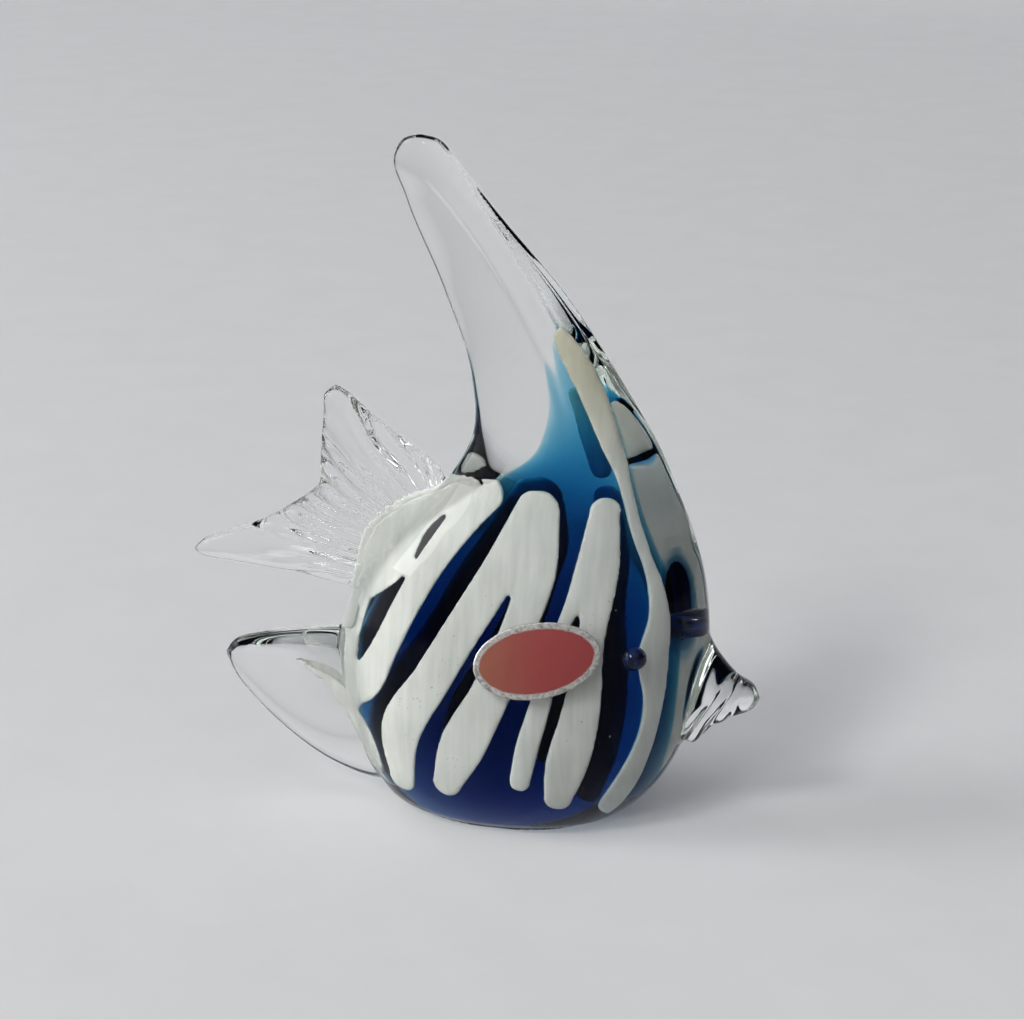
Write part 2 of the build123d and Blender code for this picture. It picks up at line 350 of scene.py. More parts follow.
# Seed bubbles: how many, their radii, their depths in the casing, and their noise. The table holds the
# spots with bubbles: along the body, up the fish, spread.
SEED_BUBBLES = 110
BUBBLE_RADIUS = 0.07 * MM
BUBBLE_RADIUS_SPREAD = 0.13 * MM
BUBBLE_DEPTH_SHARE = 0.45
BUBBLE_DEPTH_SPREAD = 0.3
BUBBLE_STRIDE = 1.7
BUBBLE_NOISE_PLACE = (2.3, 5.1)
BUBBLE_NOISE_SCALE = 3.1
BUBBLE_SPOT_SHARES = [
    (-0.06, 0.10, 0.10),
    (0.10, 0.085, 0.10),
    (0.26, 0.12, 0.13),
    (-0.10, 0.26, 0.12),
    (-0.20, 0.17, 0.10),
    (0.33, 0.33, 0.12),
    (0.02, 0.30, 0.30),
]

# Places on the flank: along the body, up the fish
EYE_PLACE_SHARES = (0.372, 0.291)
LABEL_PLACE_SHARES = (0.131, 0.288)

# Camera: the photograph's view, 1024 by 1019 pixels. Azimuths here run from the tail's side to the front.
PHOTO_WIDTH_PX = 1024
PX_PER_MM = 5.8
CAMERA_AZIMUTH = math.radians(105.0)
CAMERA_ELEVATION = math.radians(18.0)
CAMERA_DISTANCE = 520.0 * MM
CAMERA_AIM = Vector((0.34, 0.0, 56.3)) * MM
SENSOR_WIDTH_MM = 36.0

# Backdrop: a sheet of paper on the table, with a round bend up behind the fish
BACKDROP_HALF_WIDTH = 1.6
BACKDROP_FRONT = -1.4
BACKDROP_BACK = 0.9
BACKDROP_BEND = 0.5
BACKDROP_TOP = 1.4
BACKDROP_BEND_STEPS = 16

# Light: where the room is brightest, the window to the left, a lamp above and beyond it, the key light in
# front, where they all aim, and how often light may bounce
SKY_AZIMUTH = math.radians(98.0)
SKY_ELEVATION = math.radians(42.0)
WINDOW_AZIMUTH = math.radians(11.0)
WINDOW_ELEVATION = math.radians(14.0)
WINDOW_DISTANCE = 1.2
WINDOW_WIDTH = 1.25
WINDOW_HEIGHT = 0.58
WINDOW_POWER = 3.5
WINDOW_GLOW_POWER = 52.0
LAMP_PLACE = (-1.8, -0.6, 1.05)
LAMP_SIZE = 0.7
LAMP_POWER = 12.0
KEY_PLACE = (-0.60, -1.50, 1.34)
KEY_SIZE = 0.42
KEY_POWER = 18.0
LIGHT_AIM = Vector((0, 0, 0.03))
LIGHT_BOUNCES = 24


def through(rows, count):
    """A table's rows filled in smoothly, spaced evenly along the curve that they make."""
    rows = np.array(rows, float)
    chord = np.concatenate([[0.0], np.cumsum(np.linalg.norm(np.diff(rows, axis=0), axis=1))])
    slopes = np.gradient(rows, chord, axis=0)
    at = np.linspace(0.0, chord[-1], count)
    span = np.clip(np.searchsorted(chord, at, side="right") - 1, 0, len(rows) - 2)
    length = (chord[span + 1] - chord[span])[:, None]
    u = (at - chord[span])[:, None] / length
    return (
        (2 * u**3 - 3 * u**2 + 1) * rows[span]
        + (u**3 - 2 * u**2 + u) * length * slopes[span]
        + (3 * u**2 - 2 * u**3) * rows[span + 1]
        + (u**3 - u**2) * length * slopes[span + 1]
    )


def rise(value, start, end):
    """0 up to the start, 1 from the end on, and an even rise between. The end may lie below the start."""
    return min(max((value - start) / (end - start), 0.0), 1.0)


def direction(azimuth, elevation):
    """Towards a place at an angle round from the tail's side to the front, and at an angle up."""
    level = math.cos(elevation)
    return Vector((-math.cos(azimuth) * level, -math.sin(azimuth) * level, math.sin(elevation)))


def oval(rear_half, front_half, half_width, exponent):
    """Points round an oval, pointed where the exponent is low, whose rear and front halves may differ."""
    angle = np.linspace(0.0, math.tau, RING_POINTS, endpoint=False)
    along = np.sign(np.cos(angle)) * np.abs(np.cos(angle)) ** (2 / exponent)
    across = np.sign(np.sin(angle)) * np.abs(np.sin(angle)) ** (4 / (2 + exponent))
    return np.where(along > 0, front_half, rear_half) * along, half_width * across


def mesh_of_rings(rings):
    """Vertices and faces of a closed skin over rings of points, flat at both ends."""
    count, points = rings.shape[:2]
    faces = []
    for row in range(count - 1):
        for step in range(points):
            after = (step + 1) % points
            faces.append(
                (
                    row * points + step,
                    row * points + after,
                    (row + 1) * points + after,
                    (row + 1) * points + step,
                )
            )
    faces.append(tuple(reversed(range(points))))
    faces.append(tuple(range((count - 1) * points, count * points)))
    return rings.reshape(-1, 3), faces


def linked(name, data):
    made = bpy.data.objects.new(name, data)
    scene.collection.objects.link(made)
    return made


def turn_faces_outwards(mesh, same_place=0.0):
    """The mesh's faces are turned outwards, after points within a distance of one another are merged."""
    bm = bmesh.new()
    bm.from_mesh(mesh)
    if same_place:
        bmesh.ops.remove_doubles(bm, verts=bm.verts, dist=same_place)
    bmesh.ops.recalc_face_normals(bm, faces=bm.faces)
    bm.to_mesh(mesh)
    bm.free()


def object_from(name, bm):
    """A smooth object of what was made in a bmesh."""
    mesh = bpy.data.meshes.new(name)
    bm.to_mesh(mesh)
    bm.free()
    made = linked(name, mesh)
    shade_smooth(made)
    return made


def new_object(name, vertices, faces):
    mesh = bpy.data.meshes.new(name)
    mesh.from_pydata([tuple(v) for v in vertices], [], faces)
    mesh.validate()
    turn_faces_outwards(mesh, SAME_PLACE)
    return linked(name, mesh)


def apply_modifiers(piece):
    graph = bpy.context.evaluated_depsgraph_get()
    mesh = bpy.data.meshes.new_from_object(piece.evaluated_get(graph))
    old = piece.data
    piece.modifiers.clear()
    piece.data = mesh
    bpy.data.meshes.remove(old)
    mesh.name = piece.name


def melt(piece, voxel, rounds):
    """Parts that overlap in one mesh become one skin, rounded where they meet."""
    remesh = piece.modifiers.new("remesh", "REMESH")
    remesh.mode = "VOXEL"
    remesh.voxel_size = voxel
    smooth = piece.modifiers.new("smooth", "SMOOTH")
    smooth.factor = 0.5
    smooth.iterations = rounds
    apply_modifiers(piece)


def shade_smooth(piece):
    piece.data.polygons.foreach_set("use_smooth", [True] * len(piece.data.polygons))


def join(name, parts):
    """One mesh object out of several lists of vertices and faces."""
    vertices, faces, start = [], [], 0
    for part_vertices, part_faces in parts:
        vertices.extend(part_vertices)
        faces.extend([tuple(v + start for v in face) for face in part_faces])
        start += len(part_vertices)
    return new_object(name, vertices, faces)


def scaled(shares, *sizes):
    """A table of shares in metres: each column times its size."""
    rows = np.array(shares, float)
    for column, size in enumerate(sizes):
        rows[:, column] *= size
    return rows


def body_rows():
    """The body's sections, filled in. Exponent and ridge hardly count in the spacing of the rows."""
    rows = scaled(BODY_SECTION_SHARES, FISH_HEIGHT, BODY_LENGTH, BODY_LENGTH, BODY_THICKNESS / 2)
    rows[:, 4:] *= MM
    rows = through(rows, ROWS)
    rows[:, 4:] /= MM
    return rows


def core_rows():
    rows = scaled(CORE_SECTION_SHARES, CORE_HEIGHT, CORE_LENGTH, CORE_LENGTH, CORE_THICKNESS / 2)
    return through(rows, ROWS)


CORE_ROWS = core_rows()
BODY_ROWS = body_rows()

# Forms of the clear glass, in the order in which they are joined
BODY, ANAL_FIN, REAR_LOBE, UPPER_LOBE, MOUTH = range(5)


def level_rings(rows):
    """Rings of rows that hold height, rear edge, front edge, half thickness, exponent, ridge's place."""
    rings = []
    for height, rear, front, half_width, exponent, ridge in rows:
        length = max(front - rear, 0.0)
        along, across = oval(ridge * length, (1 - ridge) * length, max(half_width, 0.0), exponent)
        rings.append(np.stack([rear + ridge * length + along, across, np.full_like(along, height)], 1))
    return np.array(rings)


def upright_rings(rows, exponent):
    """Rings of rows that hold reach, middle height, half height, half thickness."""
    rings = []
    for reach, middle, half_height, half_width in rows:
        up, across = oval(half_height, half_height, half_width, exponent)
        rings.append(np.stack([np.full_like(up, reach), across, middle + up], 1))
    return np.array(rings)


def body_skin():
    return mesh_of_rings(level_rings(BODY_ROWS))


def anal_fin_skin():
    sizes = -ANAL_FIN_REACH, FISH_HEIGHT, ANAL_FIN_DEPTH, ANAL_FIN_THICKNESS / 2
    rows = through(scaled(ANAL_FIN_SHARES, *sizes), ROWS)
    return mesh_of_rings(upright_rings(rows, ANAL_FIN_EXPONENT))


def rear_lobe_skin():
    sizes = -TAIL_REACH, TAIL_TOP, TAIL_TOP, TAIL_THICKNESS / 2
    return mesh_of_rings(upright_rings(through(scaled(REAR_LOBE_SHARES, *sizes), ROWS), ROUND))


def upper_lobe_skin():
    sizes = TAIL_TOP, TAIL_REACH, TAIL_REACH, TAIL_THICKNESS / 2
    rings = []
    for height, middle, half_length, half_width in through(scaled(UPPER_LOBE_SHARES, *sizes), ROWS):
        along, across = oval(half_length, half_length, half_width, ROUND)
        rings.append(np.stack([middle + along, across, np.full_like(along, height)], 1))
    return mesh_of_rings(np.array(rings))


def mouth_skin():
    sizes = MOUTH_REACH, MOUTH_HEIGHT, MOUTH_HEIGHT, MOUTH_THICKNESS
    return mesh_of_rings(upright_rings(through(scaled(MOUTH_SHARES, *sizes), ROWS), ROUND))


def section_at(rows, height):
    """A form's level section at one height: middle, half length, half thickness."""
    rear, front, half_width = (np.interp(height, rows[:, 0], rows[:, column]) for column in (1, 2, 3))
    return (rear + front) / 2, (front - rear) / 2, half_width


def flank_depth(rows, x, z):
    """Half the thickness of a form with oval sections at a place on its flank."""
    middle, half_length, half_width = section_at(rows, z)
    share = np.clip(np.abs((x - middle) / half_length), 0.0, NEAR_RIM)
    return half_width * np.sqrt(1 - share**2)


def opal_seat(x, z, side):
    """Where opal lies, on the core or drawn out into the fins, and which way its outside faces there."""
    middle, half_length, half_width = section_at(CORE_ROWS, z)
    along = float((x - middle) / half_length)
    if along > CORE_RIM_SHARE:
        along, x = CORE_RIM_SHARE, middle + CORE_RIM_SHARE * half_length
    across = math.sqrt(max(0.0, 1 - along**2))
    drawn = 0.0
    for root_x, root_z, reach_x, reach_z, depth in OPAL_ROOT_SHARES:
        share_x = (x / BODY_LENGTH - root_x) / reach_x
        share_z = (z / FISH_HEIGHT - root_z) / reach_z
        drawn = max(drawn, depth * BODY_THICKNESS * math.sqrt(max(0.0, 1 - share_x**2 - share_z**2)))
    depth = max(half_width * across, drawn)
    forwards = max(along, OPAL_REARWARD_LIMIT) / half_length
    sideways = side * max(across, OPAL_SIDEWAYS_LIMIT) / half_width
    return Vector((x, side * depth, z)), Vector((forwards, sideways, 0.0)).normalized()


def ribbon_rows(centre_line):
    """A ribbon with rounded ends: its places along and up with its half widths, and the way it runs."""
    line = through(scaled(centre_line, BODY_LENGTH, FISH_HEIGHT, BODY_LENGTH), RIBBON_ROWS)
    run = np.gradient(line[:, :2], axis=0)
    run /= np.linalg.norm(run, axis=1)[:, None]
    start, end = [], []
    for step in range(RIBBON_END_ROWS):
        turn = math.pi / 2 * (step + 0.5) / RIBBON_END_ROWS
        cosine, sine = math.cos(turn), math.sin(turn)
        start.append(np.append(line[0, :2] - run[0] * line[0, 2] * cosine, line[0, 2] * sine))
        end.append(np.append(line[-1, :2] + run[-1] * line[-1, 2] * sine, line[-1, 2] * cosine))
    runs = [run[0]] * RIBBON_END_ROWS + list(run) + [run[-1]] * RIBBON_END_ROWS
    return np.array(start + list(line) + end), np.array(runs)


def ribbon(centre_line, side, shift):
    """A flat ribbon of opal laid on the core's flank, as vertices and faces."""
    rings = []
    for (x, z, width), (along_x, along_z) in zip(*ribbon_rows(centre_line)):
        ring = []
        for step in range(RIBBON_POINTS):
            angle = math.tau * step / RIBBON_POINTS
            offset = width * math.cos(angle)
            seat, outward = opal_seat(x + along_z * offset + shift, z - along_x * offset, side)
            rounding = abs(math.sin(angle)) ** OPAL_EDGE_ROUNDING
            lift = TRAIL_LIFT * rounding if math.sin(angle) > 0 else -TRAIL_THICKNESS * rounding
            ring.append(seat + outward * lift * min(1.0, width / TRAIL_FULL_WIDTH))
        rings.append(ring)
    return mesh_of_rings(np.array(rings))


def trail(name, ribbons):
    made = join(name, ribbons)
    melt(made, TRAIL_VOXEL, TRAIL_SMOOTHING)
    shade_smooth(made)
    return made


def normals_of(vertices, faces):
    """Smooth normals of a form's vertices."""
    mesh = bpy.data.meshes.new("form")
    mesh.from_pydata([tuple(v) for v in vertices], [], faces)
    turn_faces_outwards(mesh)
    normals = [vertex.normal.copy() for vertex in mesh.vertices]
    bpy.data.meshes.remove(mesh)
    return normals


def press_back(piece, forms):
    """After melting, the skin away from the joins goes back onto the forms it was made from.

    This returns the form that owns each vertex, how far it went back and the form's normal there."""
    trees, normals = [], []
    for vertices, faces in forms:
        trees.append(BVHTree.FromPolygons([Vector(v) for v in vertices], faces))
        normals.append(normals_of(vertices, faces))
    owners, weights, smooth = [], [], []
    for vertex in piece.data.vertices:
        found = sorted((tree.find_nearest(vertex.co)[3], index) for index, tree in enumerate(trees))
        owner = found[0][1]
        place, _, face, _ = trees[owner].find_nearest(vertex.co)
        vertices, faces = forms[owner]
        corners = [Vector(vertices[v]) for v in faces[face]]
        normal = Vector((0.0, 0.0, 0.0))
        if len(corners) == 4:
            for share, v in zip(poly_3d_calc(corners, place), faces[face]):
                normal += share * normals[owner][v]
        clear_of_join = rise(found[1][0], JOIN_WIDTH, JOIN_WIDTH + JOIN_ROUNDING)
        weight = clear_of_join**2 * (3 - 2 * clear_of_join)
        vertex.co = vertex.co.lerp(place, weight)
        owners.append(owner)
        weights.append(weight if normal.length > LEAST_NORMAL else 0.0)
        smooth.append(normal)
    return owners, weights, smooth


def ribs(place):
    """Height of the tail's pressed ribs, which fan out from the root."""
    x, z = place.x - RIB_CENTRE_X, place.z - RIB_CENTRE_Z
    reach = math.hypot(x, z)
    angle = math.degrees(math.atan2(z, -x))
    wobble = RIB_WOBBLE * noise.noise(Vector((x, z, 0.0)) * RIB_WOBBLE_FINENESS)
    wave = math.cos(math.tau * angle / RIB_SPACING + wobble)
    spot = Vector((angle * RIB_UNEVEN_BY_ANGLE, reach * RIB_UNEVEN_BY_REACH, RIB_UNEVEN_PLACE))
    strength = max(RIB_MEAN_STRENGTH + RIB_UNEVENNESS * noise.noise(spot), RIB_LEAST_STRENGTH)
    fade = rise(reach, *RIB_REACH_FADE) * max(rise(angle, *RIB_ANGLE_FADE), RIB_LEAST_FADE)
    return RIB_DEPTH * wave * strength * fade


def fin_ridge(place):
    """Height of the fine ridge that runs down the dorsal fin, and faintly down its far face."""
    ridge_x = np.interp(place.z, FIN_RIDGE_PLACES[:, 1], FIN_RIDGE_PLACES[:, 0])
    beside = (place.x - ridge_x) * FIN_RIDGE_SLANT / FIN_RIDGE_WIDTH
    ends = rise(place.z, *FIN_RIDGE_LOWER_FADE) * rise(place.z, *FIN_RIDGE_UPPER_FADE)
    flank = 1.0 if place.y < 0 else FIN_RIDGE_FAR_SHARE
    return FIN_RIDGE_DEPTH * ends * flank * math.exp(-0.5 * beside**2)


def crimps(place):
    """Height of the crimps pressed aslant into the mouth's lower half."""
    x, z = place.x - CRIMP_ROOT, place.z
    upper_edge = CRIMP_EDGE_HEIGHT + CRIMP_EDGE_SLOPE * x
    fade = rise(z, upper_edge, upper_edge - CRIMP_EDGE_FADE)
    fade *= rise(x, CRIMP_START, CRIMP_START + CRIMP_FADE) * rise(x, CRIMP_END, CRIMP_END - CRIMP_FADE)
    wave = abs(math.cos(math.pi * (CRIMPS_ALONG * x + CRIMPS_UP * z)))
    return CRIMP_DEPTH * fade * (wave - CRIMP_MEAN_WAVE)


def relief(owner, place, normal):
    """Height of the relief tooled into one form of the clear glass, or None where there is none."""
    if owner in (REAR_LOBE, UPPER_LOBE):
        return ribs(place) * min(abs(normal.y) / RIB_RIM_FACING, 1.0) ** RIB_RIM_FADE
    if owner == BODY and fin_ridge(place) > FIN_RIDGE_LEAST:
        return fin_ridge(place)
    if owner == MOUTH:
        return crimps(place)
    return None


def clear_glass():
    """The casing with its fins, the tail and the mouth as the one skin of fused glass that they are."""
    forms = [body_skin(), anal_fin_skin(), rear_lobe_skin(), upper_lobe_skin(), mouth_skin()]
    made = join("clear_glass", forms)
    melt(made, GLASS_VOXEL, GLASS_SMOOTHING)
    owners, weights, smooth = press_back(made, forms)
    made.data.update()
    normals = [vertex.normal.copy() for vertex in made.data.vertices]
    for index, vertex in enumerate(made.data.vertices):
        height = relief(owners[index], vertex.co, normals[index])
        if height is not None:
            vertex.co += normals[index] * height
            weights[index] = 0.0
        if vertex.co.z < GROUND_FLAT:
            vertex.co.z = 0.0
            weights[index] = 0.0
    made.data.update()
    shade_smooth(made)
    final = []
    for vertex, own, weight in zip(made.data.vertices, smooth, weights):
        final.append(vertex.normal.lerp(own.normalized(), weight).normalized())
    made.data.normals_split_custom_set_from_vertices(final)
    return made


def core_skin():
    rows = np.column_stack([CORE_ROWS, np.full(ROWS, ROUND), np.full(ROWS, MIDDLE)])
    made = join("cobalt_glass", [mesh_of_rings(level_rings(rows))])
    shade_smooth(made)
    return made


def eye_bead(name, side):
    """A dark bead, not quite round, pressed into the flank."""
    x = EYE_PLACE_SHARES[0] * BODY_LENGTH
    z = EYE_PLACE_SHARES[1] * FISH_HEIGHT
    depth = flank_depth(BODY_ROWS, x, z) - EYE_SINK
    bm = bmesh.new()
    bmesh.ops.create_uvsphere(bm, u_segments=EYE_SEGMENTS, v_segments=EYE_RINGS, radius=EYE_RADIUS)
    for vertex in bm.verts:
        spot = vertex.co / EYE_RADIUS * EYE_LUMP_FINENESS + Vector((3.0, 0.0, side))
        vertex.co *= 1.0 + EYE_LUMPS * noise.noise(spot)
    bm.transform(Matrix.Translation((x, side * depth, z)))
    return object_from(name, bm)


def seed_bubbles():
    """Small bubbles of air caught in the casing, most of them by the trails' lower ends."""
    bm = bmesh.new()
    for index in range(SEED_BUBBLES):
        spot = Vector((index * BUBBLE_STRIDE, *BUBBLE_NOISE_PLACE)) * BUBBLE_NOISE_SCALE
        pick = noise.noise_vector(spot)
        spot_x, spot_z, spread = BUBBLE_SPOT_SHARES[index % len(BUBBLE_SPOT_SHARES)]
        x = (spot_x + spread * pick.x) * BODY_LENGTH
        z = (spot_z + spread * pick.y) * FISH_HEIGHT
        core_depth = flank_depth(CORE_ROWS, x, z)
        casing = flank_depth(BODY_ROWS, x, z) - core_depth
        depth = core_depth + casing * (BUBBLE_DEPTH_SHARE + BUBBLE_DEPTH_SPREAD * pick.z)
        radius = BUBBLE_RADIUS + BUBBLE_RADIUS_SPREAD * abs(pick.y)
        place = Matrix.Translation((x, -depth, z))
        bmesh.ops.create_icosphere(bm, subdivisions=2, radius=radius, matrix=place)
    return object_from("seed_bubbles", bm)


def label_point(share, angle, lift, crinkles):
    """A point of the label a share of the way out, and its place along the print and in from the rim."""
    half_length, half_height = LABEL_LENGTH / 2, LABEL_HEIGHT / 2
    spoke = Vector((math.cos(angle), math.sin(angle), 0.3)) * LABEL_RAG_FINENESS
    ragged = 1.0 + LABEL_RAGGEDNESS * share * noise.noise(spoke)
    along = half_length * share * ragged * math.cos(angle)
    up = half_height * share * ragged * math.sin(angle)
    x = LABEL_PLACE_SHARES[0] * BODY_LENGTH + along * math.cos(LABEL_TILT) - up * math.sin(LABEL_TILT)
    z = LABEL_PLACE_SHARES[1] * FISH_HEIGHT + along * math.sin(LABEL_TILT) + up * math.cos(LABEL_TILT)
    crinkle = noise.noise(Vector((x, z, 0.01)) * LABEL_CRINKLE_FINENESS) * (1.0 - 0.5 * share)
    depth = flank_depth(BODY_ROWS, x, z) + lift + crinkles * crinkle
    slope = math.hypot(math.cos(angle) / half_length, math.sin(angle) / half_height)
    return (x, -depth, z), (0.5 + along / LABEL_LENGTH, (1.0 - share) / slope / LABEL_LENGTH)


def label_faces():
    """Faces of the label's outside, its underside and the narrow rim between them."""
    faces = []
    under = (LABEL_RINGS + 1) * LABEL_SPOKES
    for ring in range(LABEL_RINGS + 1):
        for spoke in range(LABEL_SPOKES):
            a = ring * LABEL_SPOKES + spoke
            b = ring * LABEL_SPOKES + (spoke + 1) % LABEL_SPOKES
            if ring == LABEL_RINGS:
                faces.append((a, b, under + b, under + a))
                continue
            faces.append((a, b, b + LABEL_SPOKES, a + LABEL_SPOKES))
            faces.append((under + a, under + a + LABEL_SPOKES, under + b + LABEL_SPOKES, under + b))
    return faces


def label_foil():
    """The foil label, a thin crinkled oval laid on the casing's near flank."""
    points = []
    for lift, crinkles in ((LABEL_THICKNESS, LABEL_CRINKLE), (LABEL_SEAT, 0.0)):
        for ring in range(LABEL_RINGS + 1):
            for spoke in range(LABEL_SPOKES):
                angle = math.tau * spoke / LABEL_SPOKES
                points.append(label_point(ring / LABEL_RINGS, angle, lift, crinkles))
    mesh = bpy.data.meshes.new("foil_oval")
    mesh.from_pydata([point for point, _ in points], [], label_faces())
    rim = mesh.uv_layers.new(name="rim")
    for loop in mesh.loops:
        rim.data[loop.index].uv = points[loop.vertex_index][1]
    turn_faces_outwards(mesh, 5 * SAME_PLACE)
    made = linked("foil_oval", mesh)
    shade_smooth(made)
    return made


def material(name):
    made = bpy.data.materials.new(name)
    made.use_nodes = True
    made.node_tree.nodes.clear()
    return made, made.node_tree


def add(tree, kind, **values):
    node = tree.nodes.new(kind)
    for key, value in values.items():
        if key in node.inputs:
            node.inputs[key].default_value = value
        else:
            setattr(node, key, value)
    return node


def ramp_between(tree, start, start_color, end, end_color):
    """A colour ramp from one colour at its start to another at its end."""
    made = add(tree, "ShaderNodeValToRGB")
    for stop, place, color in zip(made.color_ramp.elements, (start, end), (start_color, end_color)):
        stop.position = place
        stop.color = (*color, 1)
    return made


def finish_surface(tree, shader):
    """The output of a material that is all surface."""
    out = add(tree, "ShaderNodeOutputMaterial")
    tree.links.new(shader.outputs[0], out.inputs["Surface"])


def clear_material():
    made, tree = material("clear_glass")
    glass = add(tree, "ShaderNodeBsdfPrincipled", Roughness=0.0, IOR=1.5)
    glass.inputs["Base Color"].default_value = (1, 1, 1, 1)
    glass.inputs["Transmission Weight"].default_value = 1.0
    glass.inputs["Specular Tint"].default_value = (0.15, 0.15, 0.15, 1)
    lamp = add(tree, "ShaderNodeBsdfTransparent", Color=(0.58, 0.60, 0.62, 1))
    path = add(tree, "ShaderNodeLightPath")
    mix = add(tree, "ShaderNodeMixShader")
    out = add(tree, "ShaderNodeOutputMaterial")
    volume = add(tree, "ShaderNodeVolumeAbsorption", Color=(0.45, 0.80, 0.62, 1), Density=3.0)
    tree.links.new(path.outputs["Is Shadow Ray"], mix.inputs[0])
    tree.links.new(glass.outputs[0], mix.inputs[1])
    tree.links.new(lamp.outputs[0], mix.inputs[2])
    tree.links.new(mix.outputs[0], out.inputs["Surface"])
    tree.links.new(volume.outputs[0], out.inputs["Volume"])
    return made


def cobalt_material():
    made, tree = material("cobalt_glass")
    clear = add(tree, "ShaderNodeBsdfTransparent", Color=(1, 1, 1, 1))
    volume = add(tree, "ShaderNodeVolumeAbsorption", Color=(0.02, 0.62, 0.81, 1), Density=520.0)
    out = add(tree, "ShaderNodeOutputMaterial")
    tree.links.new(clear.outputs[0], out.inputs["Surface"])
    tree.links.new(volume.outputs[0], out.inputs["Volume"])
    return made


def opal_material():
    """Opal white with soft streaks down its length, creamier in the fins."""
    made, tree = material("opal_glass")
    shader = add(tree, "ShaderNodeBsdfPrincipled", Roughness=0.6)
    shader.inputs["Specular IOR Level"].default_value = 0.0
    place = add(tree, "ShaderNodeTexCoord")
    turn = add(tree, "ShaderNodeMapping")
    turn.inputs["Rotation"].default_value = (0.0, math.radians(-28.0), 0.0)
    turn.inputs["Scale"].default_value = (900.0, 300.0, 70.0)
    streak = add(tree, "ShaderNodeTexNoise", Scale=1.0, Detail=3.0)
    cloud = add(tree, "ShaderNodeTexNoise", Scale=110.0, Detail=2.0)
    both = add(tree, "ShaderNodeMath", operation="MULTIPLY_ADD")
    both.inputs[1].default_value = 0.55
    ramp = ramp_between(tree, 0.25, (0.355, 0.361, 0.336), 0.80, (0.520, 0.530, 0.496))
    spot = add(tree, "ShaderNodeSeparateXYZ")
    height = add(tree, "ShaderNodeMapRange", interpolation_type="SMOOTHSTEP")
    height.inputs["From Min"].default_value = 0.055
    height.inputs["From Max"].default_value = 0.085
    cream = add(tree, "ShaderNodeMix", data_type="RGBA", blend_type="MULTIPLY")
    cream.inputs["B"].default_value = (0.72, 0.68, 0.57, 1)
    half = add(tree, "ShaderNodeMath", operation="MULTIPLY")
    half.inputs[1].default_value = 0.5
    tree.links.new(place.outputs["Object"], turn.inputs["Vector"])
    tree.links.new(turn.outputs["Vector"], streak.inputs["Vector"])
    tree.links.new(place.outputs["Object"], cloud.inputs["Vector"])
    tree.links.new(streak.outputs["Fac"], both.inputs[0])
    tree.links.new(cloud.outputs["Fac"], half.inputs[0])
    tree.links.new(half.outputs[0], both.inputs[2])
    tree.links.new(both.outputs[0], ramp.inputs[0])
    tree.links.new(place.outputs["Object"], spot.inputs[0])
    tree.links.new(spot.outputs["Z"], height.inputs["Value"])
    tree.links.new(height.outputs[0], cream.inputs["Factor"])
    tree.links.new(ramp.outputs[0], cream.inputs["A"])
    tree.links.new(cream.outputs["Result"], shader.inputs["Base Color"])
    finish_surface(tree, shader)
    return made


def bead_material():
    """Navy glass, so dark that light hardly gets in."""
    made, tree = material("eye_glass")
    shader = add(tree, "ShaderNodeBsdfPrincipled", Roughness=0.12)
    shader.inputs["Specular IOR Level"].default_value = 0.2
    place = add(tree, "ShaderNodeTexCoord")
    cloud = add(tree, "ShaderNodeTexNoise", Scale=900.0, Detail=2.0)
    ramp = ramp_between(tree, 0.45, (0.001, 0.002, 0.010), 0.75, (0.004, 0.020, 0.110))
    tree.links.new(place.outputs["Object"], cloud.inputs["Vector"])
    tree.links.new(cloud.outputs["Fac"], ramp.inputs[0])
    tree.links.new(ramp.outputs[0], shader.inputs["Base Color"])
    finish_surface(tree, shader)
    return made


def bubble_material():
    """The inside of a bubble, which bends light the other way."""
    made, tree = material("seed_bubble")
    shader = add(tree, "ShaderNodeBsdfPrincipled", Roughness=0.0, IOR=0.667)
    shader.inputs["Base Color"].default_value = (1, 1, 1, 1)
    shader.inputs["Transmission Weight"].default_value = 1.0
    finish_surface(tree, shader)
    return made


